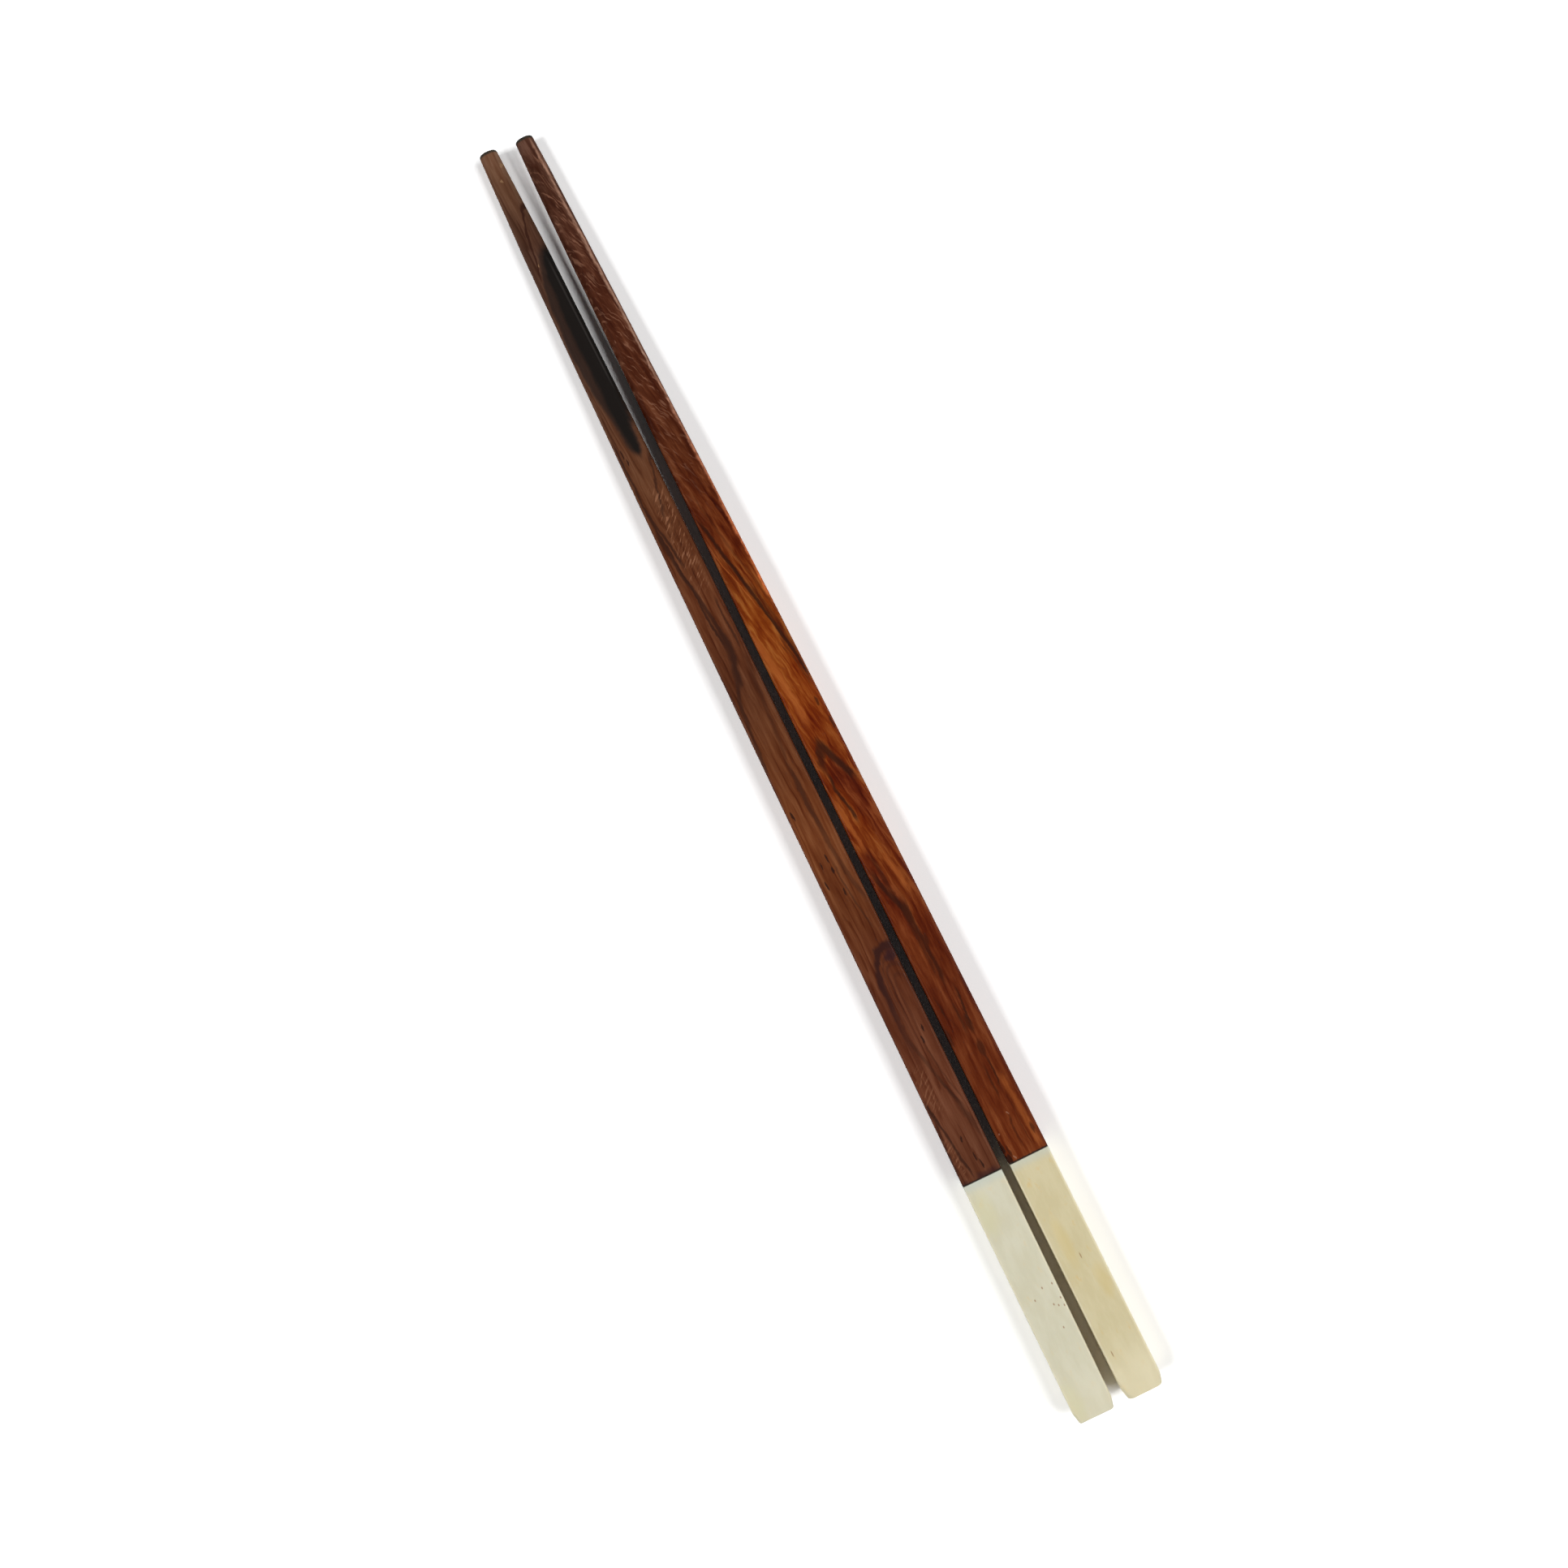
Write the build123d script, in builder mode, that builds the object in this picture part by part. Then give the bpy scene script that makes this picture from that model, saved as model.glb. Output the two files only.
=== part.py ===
from build123d import *
import math
import os

# A pair of tapered wooden chopsticks with bone butt caps, lying side by side on a table.
# Lengths are in millimetres and angles in degrees. +Y points along the pair towards the
# tips, +Z is up, and the origin is on the table under the middle of the pair.

# The wood of the left stick, from its joint with the cap to its tip, what the right one
# lacks of that, and the caps
shank_length = 203.0
length_difference = 0.5
cap_length = 47.0

# The stick is a square bar: the cap keeps its width, and the wood tapers first along flat
# faces and then along a curve, worked from station to station, to the tip
handle_width = 7.6
facet_end_width = 6.82
facet_length = 78.0
left_tip_bar_width = 3.95
right_tip_bar_width = 3.5
curve_stations = 9

# The eating end is turned to a slim cone, which fades into the flats of the bar
tip_diameter = 3.3
tip_cone_angle = 1.95
tip_flat_width = 0.2

# Eased edges: along the bar, round the tip and at the bevelled end of the cap
edge_radius = 0.35
tip_edge_radius = 0.35
tip_edge_stations = 3
cap_bevel_length = 2.0
cap_bevel_depth = 0.45
cap_bevel_radius = 2.5
cap_end_radius = 0.5

# The wood carries a turned tenon, glued into a blind socket in the cap
tenon_diameter = 4.0
tenon_length = 12.0
tenon_chamfer = 0.4
glue_clearance = 0.05
glue_pocket = 0.5

# How the pair lies: the distance between the centre lines at the joints, and the angle
# between the sticks, which close up towards the tips
joint_spacing = 9.17
splay_angle = 0.635

# Each stick rests on the flat bottom face of its wood, so its axis dips towards the tip
dip = math.atan((handle_width - facet_end_width) / 2 / facet_length)
axis_height = handle_width / 2 * math.cos(dip)
joint_y = (cap_length - shank_length) / 2


def stick_plane(side):
    """The frame of a stick, at its joint: Y runs along its axis to the tip, side is -1 or 1."""
    yaw = math.radians(splay_angle / 2) * side
    across = Vector(math.cos(yaw), math.sin(yaw), 0)
    tipward = Vector(-math.sin(yaw) * math.cos(dip), math.cos(yaw) * math.cos(dip), -math.sin(dip))
    joint = (side * joint_spacing / 2, joint_y, axis_height)
    return Plane(origin=joint, x_dir=across, z_dir=across.cross(tipward))


def side_plane(stick):
    """The frame of a stick turned about its axis, to draw its side view in."""
    return Plane(origin=stick.origin, x_dir=-stick.z_dir, z_dir=stick.x_dir)


def joint_plane(stick):
    """The joint between the wood and the cap of a stick, facing into the cap."""
    return Plane(origin=stick.origin, x_dir=stick.x_dir, z_dir=-stick.y_dir)


def running_edges(piece, stick):
    """The edges of a piece that run along its stick, not across it."""
    return piece.edges().filter_by(
        lambda edge: abs((edge @ 1 - edge @ 0).dot(stick.y_dir)) > edge.length / 2
    )


def wood_section(distance, wood_length, tip_bar_width):
    """The width and the corner radius of the wood at a distance from the joint."""
    past_facet = distance - facet_length
    curve_length = wood_length - facet_length
    slope = (handle_width - facet_end_width) / facet_length
    curve_drop = facet_end_width - slope * curve_length - tip_bar_width
    bar_width = facet_end_width - slope * past_facet - curve_drop * (past_facet / curve_length) ** 2

    cone_slope = math.tan(math.radians(tip_cone_angle))
    cone_width = tip_diameter + 2 * (wood_length - distance) * cone_slope
    width = min(bar_width, cone_width)
    corner_radius = (width / math.sqrt(2) - cone_width / 2) / (math.sqrt(2) - 1)
    return width, min(max(corner_radius, edge_radius), (width - tip_flat_width) / 2)


def make_shank(name, side, wood_length, tip_bar_width):
    """The wood of one stick: a tapered square bar with a round tip and a tenon."""
    stick = stick_plane(side)
    across = joint_plane(stick)

    with BuildPart() as shank:
        # The handle has the same tapered outline from above and from the side
        for view, mode in ((stick, Mode.ADD), (side_plane(stick), Mode.INTERSECT)):
            with BuildSketch(view.offset(-handle_width)):
                with BuildLine():
                    Polyline((0, 0), (handle_width / 2, 0), (facet_end_width / 2, facet_length), (0, facet_length))
                    mirror(about=Plane.YZ)
                make_face()
            extrude(amount=2 * handle_width, mode=mode)
        fillet(running_edges(shank, stick), radius=edge_radius)

        # From the end of the facets the section shrinks, and its corners grow round
        add(shank.faces().sort_by(Axis.Y)[-1])
        for station in range(1, curve_stations + 1):
            run = wood_length - tip_edge_radius - facet_length
            distance = facet_length + run * station / curve_stations
            width, corner_radius = wood_section(distance, wood_length, tip_bar_width)
            with BuildSketch(across.offset(-distance)):
                RectangleRounded(width, width, corner_radius)
        for station in range(1, tip_edge_stations + 1):
            turn = math.pi / 2 * station / tip_edge_stations
            inset = tip_edge_radius * (1 - math.cos(turn))
            with BuildSketch(across.offset(tip_edge_radius * (1 - math.sin(turn)) - wood_length)):
                RectangleRounded(width - 2 * inset, width - 2 * inset, corner_radius - inset)
        loft(ruled=True)

        with BuildSketch(across):
            Circle(tenon_diameter / 2)
        extrude(amount=tenon_length)
        chamfer(shank.faces().sort_by(Axis.Y)[0].edges(), length=tenon_chamfer)

    shank.part.label = name
    export_step(shank.part, f"parts/{name}.step")
    print(name, shank.part.is_valid, round(shank.part.volume, 1))


def make_cap(name, side):
    """The bone cap of one stick: a square block, bevelled at its end, with a socket."""
    stick = stick_plane(side)

    with BuildPart() as cap:
        # The same bevelled outline, seen from above and from the side
        for view, mode in ((stick, Mode.ADD), (side_plane(stick), Mode.INTERSECT)):
            with BuildSketch(view.offset(-handle_width)):
                with BuildLine():
                    outline = FilletPolyline(
                        (handle_width / 2, 0),
                        (handle_width / 2, cap_bevel_length - cap_length),
                        (handle_width / 2 - cap_bevel_depth, -cap_length),
                        radius=cap_bevel_radius,
                    )
                    Line(outline @ 1, (0, -cap_length))
                    Line(outline @ 0, (0, 0))
                    mirror(about=Plane.YZ)
                make_face()
            extrude(amount=2 * handle_width, mode=mode)
        fillet(cap.faces().sort_by(Axis.Y)[0].edges(), radius=cap_end_radius)
        fillet(running_edges(cap, stick), radius=edge_radius)

        with BuildSketch(joint_plane(stick)):
            Circle(tenon_diameter / 2 + glue_clearance)
        extrude(amount=tenon_length + glue_pocket, mode=Mode.SUBTRACT)

    cap.part.label = name
    export_step(cap.part, f"parts/{name}.step")
    print(name, cap.part.is_valid, round(cap.part.volume, 1))


os.makedirs("parts", exist_ok=True)
make_shank("left_shank", -1, shank_length, left_tip_bar_width)
make_shank("right_shank", 1, shank_length - length_difference, right_tip_bar_width)
make_cap("left_cap", -1)
make_cap("right_cap", 1)
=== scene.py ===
import math

import bpy
from mathutils import Matrix, Vector, noise


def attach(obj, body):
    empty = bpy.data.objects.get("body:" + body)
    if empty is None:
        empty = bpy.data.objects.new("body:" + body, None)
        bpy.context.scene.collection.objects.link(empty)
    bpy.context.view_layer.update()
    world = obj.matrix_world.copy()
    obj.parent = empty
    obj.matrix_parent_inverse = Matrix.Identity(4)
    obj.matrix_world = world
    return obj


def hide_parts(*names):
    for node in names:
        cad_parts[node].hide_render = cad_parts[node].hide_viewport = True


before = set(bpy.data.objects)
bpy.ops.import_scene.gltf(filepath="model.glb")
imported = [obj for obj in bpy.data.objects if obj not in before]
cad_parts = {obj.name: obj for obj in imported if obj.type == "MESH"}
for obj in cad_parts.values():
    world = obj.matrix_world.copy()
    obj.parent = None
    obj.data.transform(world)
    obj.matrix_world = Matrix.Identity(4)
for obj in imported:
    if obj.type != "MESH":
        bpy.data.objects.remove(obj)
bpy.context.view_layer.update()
print("stage: frame loaded")

# Sizes of the pair in millimetres, the same as those of the solids
pair = {
    "woodLength": 203.0,
    "lengthDifference": 0.5,  # the right stick's wood is this much shorter
    "capLength": 47.0,
    "handleWidth": 7.6,
    "facetEndWidth": 6.82,
    "facetLength": 78.0,
    "tipBarWidths": {"left": 3.95, "right": 3.5},
    "tipDiameter": 3.3,
    "tipConeAngle": 1.95,
    "tipFlat": 0.2,
    "tipRounding": 0.35,
    "edgeRadius": 0.35,
    "tenonDiameter": 4.0,
    "tenonLength": 12.0,
    "tenonChamfer": 0.4,
    "glueClearance": 0.05,
    "gluePocket": 0.5,
    "jointSpacing": 9.17,
    "splayAngle": 0.635,
}
millimetre = 0.001
sides = {"left": -1, "right": 1}


def between(low, high, share):
    return low + (high - low) * share


def ease(low, high, value):
    share = min(max((value - low) / (high - low), 0.0), 1.0)
    return share * share * (3 - 2 * share)


# A stick's own frame has its origin on its axis at the joint: across, towards the tip, up
def stickFrame(side):
    dip = math.atan((pair["handleWidth"] - pair["facetEndWidth"]) / 2 / pair["facetLength"])
    yaw = math.radians(pair["splayAngle"] / 2) * sides[side]
    across = Vector((math.cos(yaw), math.sin(yaw), 0))
    tipward = Vector((-math.sin(yaw) * math.cos(dip), math.cos(yaw) * math.cos(dip), -math.sin(dip)))
    up = across.cross(tipward)
    joint = Vector((
        sides[side] * pair["jointSpacing"] / 2,
        (pair["capLength"] - pair["woodLength"]) / 2,
        pair["handleWidth"] / 2 * math.cos(dip),
    ))
    place = Matrix((across, tipward, up)).transposed().to_4x4()
    return Matrix.Scale(millimetre, 4) @ Matrix.Translation(joint) @ place


# Mesh: every piece is a stack of rings with the same number of points
ringSpec = {
    "cornerPoints": 9,
    "sidePoints": 9,
    "roundCorner": 0.3,  # where a round ring has its points: those of a square one with this corner
    "sharpAngle": 35.0,
}


def squareRing(halfWidth, radius, along, wobble=None):
    quarter = math.pi / 2
    reach = (halfWidth - radius) * math.sqrt(2)

    def cornerPoint(corner, share):
        middle, turn = quarter * (corner + 0.5), quarter * (corner + share)
        return (
            reach * math.cos(middle) + radius * math.cos(turn),
            reach * math.sin(middle) + radius * math.sin(turn),
        )

    points = []
    for corner in range(4):
        for step in range(ringSpec["cornerPoints"]):
            points.append(cornerPoint(corner, step / (ringSpec["cornerPoints"] - 1)))
        start, end = points[-1], cornerPoint(corner + 1, 0.0)
        for step in range(1, ringSpec["sidePoints"] + 1):
            share = step / (ringSpec["sidePoints"] + 1)
            points.append((between(start[0], end[0], share), between(start[1], end[1], share)))
    ring = []
    for across, up in points:
        swell = wobble(across, along, up) if wobble else 0.0
        grown = 1 + swell / math.hypot(across, up)
        ring.append((across * grown, along, up * grown))
    return ring


def roundRing(radius, along):
    ring = []
    for across, _, up in squareRing(1.0, ringSpec["roundCorner"], along):
        reach = math.hypot(across, up)
        ring.append((radius * across / reach, along, radius * up / reach))
    return ring


def buildPiece(name, rings, side, tipAt):
    count = len(rings[0])
    verts = [point for ring in rings for point in ring]
    faces = []
    for row in range(len(rings) - 1):
        for step in range(count):
            here = row * count + step
            beside = row * count + (step + 1) % count
            faces.append((here, beside, beside + count, here + count))
    faces.append(tuple(reversed(range(count))))
    faces.append(tuple(range((len(rings) - 1) * count, len(rings) * count)))
    mesh = bpy.data.meshes.new(name)
    toWorld = stickFrame(side)
    mesh.from_pydata([toWorld @ Vector(point) for point in verts], [], faces)
    mesh.update()
    # where a point lies on its stick, in millimetres: across, from the tip, below the top face
    place = mesh.attributes.new("place", "FLOAT_VECTOR", "POINT")
    tops = [max(up for _, _, up in ring) for ring in rings]
    for index, (across, along, up) in enumerate(verts):
        place.data[index].vector = (across, tipAt - along, tops[index // count] - up)
    mesh.polygons.foreach_set("use_smooth", [True] * len(mesh.polygons))
    mesh.set_sharp_from_angle(angle=math.radians(ringSpec["sharpAngle"]))
    piece = bpy.data.objects.new(name, mesh)
    bpy.context.scene.collection.objects.link(piece)
    return piece


# Wood: the section follows the bar's taper and the cone of the eating end
wood = {
    "stations": 280,
    "tipSteps": 8,
    "jointEase": 0.06,
    "waveDepth": 0.022,
    "waveLength": 14.0,
    "waveAcross": 0.25,
    "edgeUnevenness": 0.1,
    "edgeWaveLength": 3.0,
    "seeds": {"left": 11.0, "right": 47.0},
}


def woodLengthOf(side):
    return pair["woodLength"] - (pair["lengthDifference"] if side == "right" else 0.0)


def woodSection(side, along):
    woodLength = woodLengthOf(side)
    slope = (pair["handleWidth"] - pair["facetEndWidth"]) / pair["facetLength"]
    curveLength = woodLength - pair["facetLength"]
    drop = pair["facetEndWidth"] - slope * curveLength - pair["tipBarWidths"][side]
    past = along - pair["facetLength"]
    bar = pair["facetEndWidth"] - slope * past
    if past > 0:
        bar -= drop * (past / curveLength) ** 2
    cone = pair["tipDiameter"] + 2 * (woodLength - along) * math.tan(math.radians(pair["tipConeAngle"]))
    width = min(bar, cone)
    corner = (width / math.sqrt(2) - cone / 2) / (math.sqrt(2) - 1)
    corner = min(max(corner, pair["edgeRadius"]), (width - pair["tipFlat"]) / 2)
    return width, corner


def makeWood(side):
    woodLength = woodLengthOf(side)
    seed = wood["seeds"][side]

    def wobble(across, along, up):
        rate = wood["waveAcross"]
        spot = Vector((across * rate + seed, along / wood["waveLength"], up * rate))
        return wood["waveDepth"] * noise.noise(spot)

    tenon = pair["tenonDiameter"] / 2
    rings = [
        roundRing(tenon - pair["tenonChamfer"], -pair["tenonLength"]),
        roundRing(tenon, pair["tenonChamfer"] - pair["tenonLength"]),
        roundRing(tenon, 0.0),
    ]
    width, corner = woodSection(side, 0.0)
    rings.append(squareRing(width / 2 - wood["jointEase"], corner, 0.0))
    straightEnd = woodLength - pair["tipRounding"]
    for station in range(wood["stations"] + 1):
        along = between(wood["jointEase"], straightEnd, station / wood["stations"])
        width, corner = woodSection(side, along)
        corner += wood["edgeUnevenness"] * noise.noise(Vector((seed, along / wood["edgeWaveLength"], 0.5)))
        rings.append(squareRing(width / 2, min(corner, (width - pair["tipFlat"]) / 2), along, wobble))
    for step in range(1, wood["tipSteps"] + 1):
        turn = math.pi / 2 * step / wood["tipSteps"]
        inset = pair["tipRounding"] * (1 - math.cos(turn))
        along = straightEnd + pair["tipRounding"] * math.sin(turn)
        rings.append(squareRing(width / 2 - inset, corner - inset, along, wobble))
    return buildPiece(side + "_shank_wood", rings, side, woodLength)


# Bone: a square block with a soft bevel at its end and the socket for the tenon
bone = {
    "stations": 90,
    "jointEase": 0.07,
    "bevelStart": 2.2,
    "bevelDepth": 0.45,
    "bevelBlend": 0.5,  # half the length over which the side bends into the bevel
    "cornerBlend": 3.0,
    "endRadius": 0.5,
    "endSteps": 8,
    "edgeRadius": 0.33,
    "endCornerRadii": {"left": 0.7, "right": 1.3},
    "waveDepth": 0.02,
    "waveLength": 9.0,
    "waveAcross": 0.3,
    "seeds": {"left": 5.0, "right": 23.0},
}


def makeBone(side):
    seed = bone["seeds"][side]

    def wobble(across, along, up):
        rate = bone["waveAcross"]
        spot = Vector((across * rate + seed, along / bone["waveLength"], up * rate))
        return bone["waveDepth"] * noise.noise(spot)

    socket = pair["tenonDiameter"] / 2 + pair["glueClearance"]
    halfWidth = pair["handleWidth"] / 2
    rings = [
        roundRing(socket, -pair["tenonLength"] - pair["gluePocket"]),
        roundRing(socket, 0.0),
        squareRing(halfWidth - bone["jointEase"], bone["edgeRadius"], 0.0),
    ]
    straightEnd = pair["capLength"] - bone["endRadius"]
    slope = bone["bevelDepth"] / bone["bevelStart"]
    blend = bone["bevelBlend"]
    for station in range(bone["stations"] + 1):
        fromJoint = between(bone["jointEase"], straightEnd, station / bone["stations"])
        past = fromJoint - (pair["capLength"] - bone["bevelStart"])
        inset = slope * past if past > blend else slope * max(past + blend, 0.0) ** 2 / (4 * blend)
        width = halfWidth - inset
        grown = ease(-bone["cornerBlend"], bone["bevelStart"], past)
        corner = between(bone["edgeRadius"], bone["endCornerRadii"][side], grown)
        rings.append(squareRing(width, corner, -fromJoint, wobble))
    for step in range(1, bone["endSteps"] + 1):
        turn = math.pi / 2 * step / bone["endSteps"]
        inset = bone["endRadius"] * (1 - math.cos(turn))
        along = -straightEnd - bone["endRadius"] * math.sin(turn)
        rings.append(squareRing(width - inset, corner - inset, along, wobble))
    rings = [list(reversed(ring)) for ring in rings]
    return buildPiece(side + "_cap_bone", rings, side, woodLengthOf(side))


# Shader maths: a Port wraps one output socket of a material, and sums on ports add nodes
class Port:
    def __init__(self, sheet, socket):
        self.sheet = sheet
        self.socket = socket

    def maths(self, operation, first, second=None):
        return self.sheet.node("ShaderNodeMath", {"operation": operation}, {0: first, 1: second})

    def __add__(self, other):
        return self.maths("ADD", self, other)

    def __sub__(self, other):
        return self.maths("SUBTRACT", self, other)

    def __rsub__(self, other):
        return self.maths("SUBTRACT", other, self)

    def __mul__(self, other):
        return self.maths("MULTIPLY", self, other)

    def __truediv__(self, other):
        return self.maths("DIVIDE", self, other)

    def __pow__(self, other):
        return self.maths("POWER", self, other)

    def __abs__(self):
        return self.maths("ABSOLUTE", self)

    __radd__ = __add__
    __rmul__ = __mul__

    def least(self, other):
        return self.maths("MINIMUM", self, other)

    def most(self, other):
        return self.maths("MAXIMUM", self, other)

    # 0 where the value is at low and 1 where it is at high, either way round
    def smooth(self, low, high):
        settings = {"interpolation_type": "SMOOTHSTEP"}
        sockets = {"Value": self, "From Min": low, "From Max": high}
        return self.sheet.node("ShaderNodeMapRange", settings, sockets)


# The node tree of one material or world. Its methods add nodes and give back ports
class Sheet:
    def __init__(self, owner):
        self.owner = owner
        owner.use_nodes = True
        self.tree = owner.node_tree
        self.tree.nodes.clear()

    def node(self, kind, settings, sockets, out=0):
        made = self.tree.nodes.new(kind)
        for key, value in settings.items():
            if key == "stops":
                for index, (position, colour) in enumerate(value):
                    elements = made.color_ramp.elements
                    stop = elements[index] if index < 2 else elements.new(position)
                    stop.position = position
                    stop.color = colour
            elif key == "curve":
                line = made.mapping.curves[0]
                line.points[0].location, line.points[1].location = value[0], value[-1]
                for x, y in value[1:-1]:
                    line.points.new(x, y)
                made.mapping.update()
            else:
                setattr(made, key, value)
        for key, value in sockets.items():
            if isinstance(value, Port):
                self.tree.links.new(value.socket, made.inputs[key])
            elif value is not None:
                made.inputs[key].default_value = value
        return Port(self, made.outputs[out]) if made.outputs else None

    def mix(self, share, first, second, blend="MIX"):
        settings = {"data_type": "RGBA", "blend_type": blend}
        return self.node("ShaderNodeMix", settings, {0: share, 6: first, 7: second}, 2)

    def vector(self, x, y, z):
        return self.node("ShaderNodeCombineXYZ", {}, {0: x, 1: y, 2: z})

    def noise(self, vector, detail=2.0, roughness=0.5, distortion=0.0):
        return self.node("ShaderNodeTexNoise", {}, {
            "Vector": vector, "Scale": 1.0, "Detail": detail, "Roughness": roughness,
            "Distortion": distortion})

    # noise with its own rate, in cycles per millimetre, along the stick, across it and into it
    def texture(self, kind, along, across, depth):
        rates, *shape = kind
        return self.noise(self.vector(along * rates[0], across * rates[1], depth * rates[2]), *shape)

    def maths(self, operation, value):
        return self.node("ShaderNodeMath", {"operation": operation}, {0: value})

    def ramp(self, value, stops):
        return self.node("ShaderNodeValToRGB", {"stops": stops}, {"Fac": value})

    # the surface's own place, in millimetres: across the stick, from the tip, below the top face
    def place(self):
        spot = self.node("ShaderNodeAttribute", {"attribute_name": "place"}, {}, "Vector")
        return [self.node("ShaderNodeSeparateXYZ", {}, {0: spot}, axis) for axis in range(3)]

    def finish(self, shader):
        self.node("ShaderNodeOutputMaterial", {}, {"Surface": shader})
        return self.owner


# Colours are written as they show on a screen: red, green, blue from 0 to 255
def paint(red, green, blue):
    def linear(level):
        level = level / 255
        return level / 12.92 if level <= 0.04045 else ((level + 0.055) / 1.055) ** 2.4
    return (linear(red), linear(green), linear(blue), 1.0)


# Marks in the wood, each a share from 0 to 1. Paths are (millimetres from the tip, millimetres across)
class Figure:
    def __init__(self, sheet, along, across):
        self.sheet = sheet
        self.along = along
        self.across = across
        self.span = 5.0  # paths may run from -span to +span across

    def centre(self, path):
        start, end = path[0][0], path[-1][0]
        curve = [
            ((place - start) / (end - start), (across + self.span) / 2 / self.span) for place, across in path]
        share = (self.along - start) / (end - start)
        height = self.sheet.node("ShaderNodeFloatCurve", {"curve": curve}, {"Value": share})
        return height * (2 * self.span) - self.span

    def within(self, start, end, fade):
        return self.along.smooth(start, start + fade) * self.along.smooth(end, end - fade)

    def band(self, path, width, soft=0.7, fade=3.0):
        offset = abs(self.across - self.centre(path))
        return offset.smooth(width, width * (1 - soft)) * self.within(path[0][0], path[-1][0], fade)

    def patch(self, outer, inner, soft=0.5, fade=2.0):
        above = (self.across - self.centre(outer)).smooth(-soft / 2, soft / 2)
        below = (self.centre(inner) - self.across).smooth(-soft / 2, soft / 2)
        start, end = max(outer[0][0], inner[0][0]), min(outer[-1][0], inner[-1][0])
        return above * below * self.within(start, end, fade)

    def spot(self, place, length, width, soft=0.6):
        along = (self.along - place[0]) / length
        across = (self.across - place[1]) / width
        return (along * along + across * across).smooth(1.0, 1.0 - soft)

    # a ring round a knot that runs out into straight lines towards the joint
    def knot(self, place, length, width, at, thickness, soft=0.7):
        along = (self.along - place[0]).least(0.0) / length
        across = (self.across - place[1]) / width
        distance = (along * along + across * across) ** 0.5
        return abs(distance - at).smooth(thickness, thickness * (1 - soft))


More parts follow.
